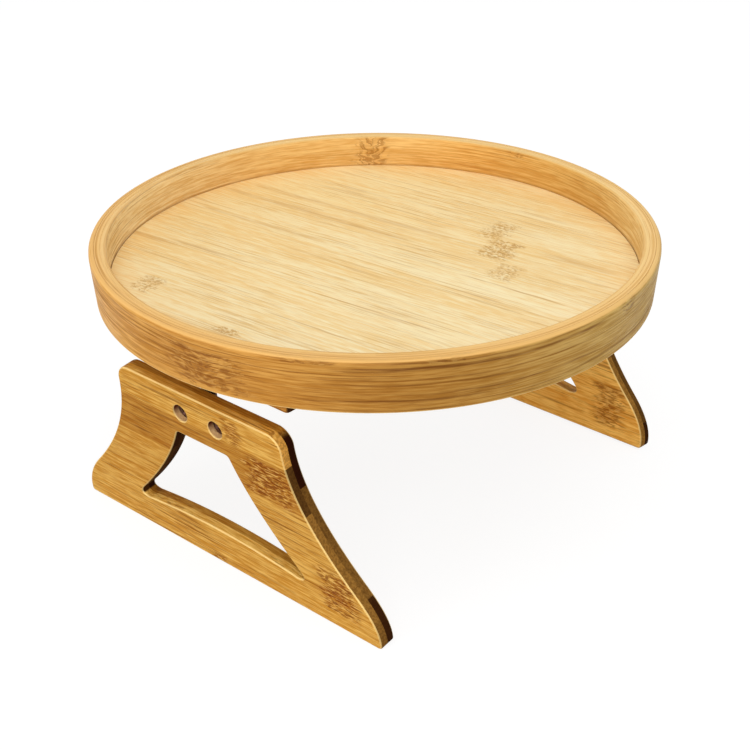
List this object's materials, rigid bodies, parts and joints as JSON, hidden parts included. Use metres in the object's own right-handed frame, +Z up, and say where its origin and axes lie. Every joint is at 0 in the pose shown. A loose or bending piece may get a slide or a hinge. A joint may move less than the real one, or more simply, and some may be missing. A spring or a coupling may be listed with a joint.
{
  "type": "folding-leg tray",
  "caption": "Round bamboo tray with a low bent rim, on hinged flared legs that straddle a sofa arm and fold flat underneath.",
  "frame": {"origin": "on the surface that the feet stand on, under the middle of the tray", "axes": "+Z up; +X from the left leg to the right leg; Y along the hinge pins"},
  "size_m": [0.2498, 0.2498, 0.1258],
  "materials": {
    "bamboo_floor": "pale bamboo with fine long grain, satin lacquer",
    "bamboo_rim_outer": "honey bamboo strip, grain round the rim, satin lacquer",
    "bamboo_rim_core": "pale bamboo strip seen on edge, satin lacquer",
    "bamboo_rim_inner": "honey bamboo strip, grain round the rim, satin lacquer",
    "bamboo_board": "laminated bamboo board, satin lacquer",
    "bamboo_leg": "honey bamboo board, grain along the foot, satin lacquer",
    "hinge_steel": "sheet plated dark bronze",
    "screw_steel": "plated dark bronze"
  },
  "bodies": {
    "tray": {"tray_floor": "bamboo_floor", "rim_outer_ply": "bamboo_rim_outer", "rim_middle_ply": "bamboo_rim_core", "rim_inner_ply": "bamboo_rim_inner", "base_board": "bamboo_board", "board_screw_1": "screw_steel", "board_screw_2": "screw_steel", "board_screw_3": "screw_steel", "board_screw_4": "screw_steel", "left_board_leaf": "hinge_steel", "left_hinge_pin": "hinge_steel", "left_leaf_screw_1": "screw_steel", "left_leaf_screw_2": "screw_steel", "right_board_leaf": "hinge_steel", "right_hinge_pin": "hinge_steel", "right_leaf_screw_1": "screw_steel", "right_leaf_screw_2": "screw_steel"},
    "left_leg_swing": {"left_leg": "bamboo_leg", "left_leg_leaf": "hinge_steel", "left_leg_screw_1": "screw_steel", "left_leg_screw_2": "screw_steel"},
    "right_leg_swing": {"right_leg": "bamboo_leg", "right_leg_leaf": "hinge_steel", "right_leg_screw_1": "screw_steel", "right_leg_screw_2": "screw_steel"}
  },
  "joints": [
    {"name": "left_leg_fold", "type": "hinge", "parent": "tray", "child": "left_leg_swing", "pos_m": [-0.10355, 0, 0.0924], "axis": [0, -1, 0], "range_deg": [-97, 83]},
    {"name": "right_leg_fold", "type": "hinge", "parent": "tray", "child": "right_leg_swing", "pos_m": [0.10355, 0, 0.0924], "axis": [0, 1, 0], "range_deg": [-97, 83]}
  ]
}
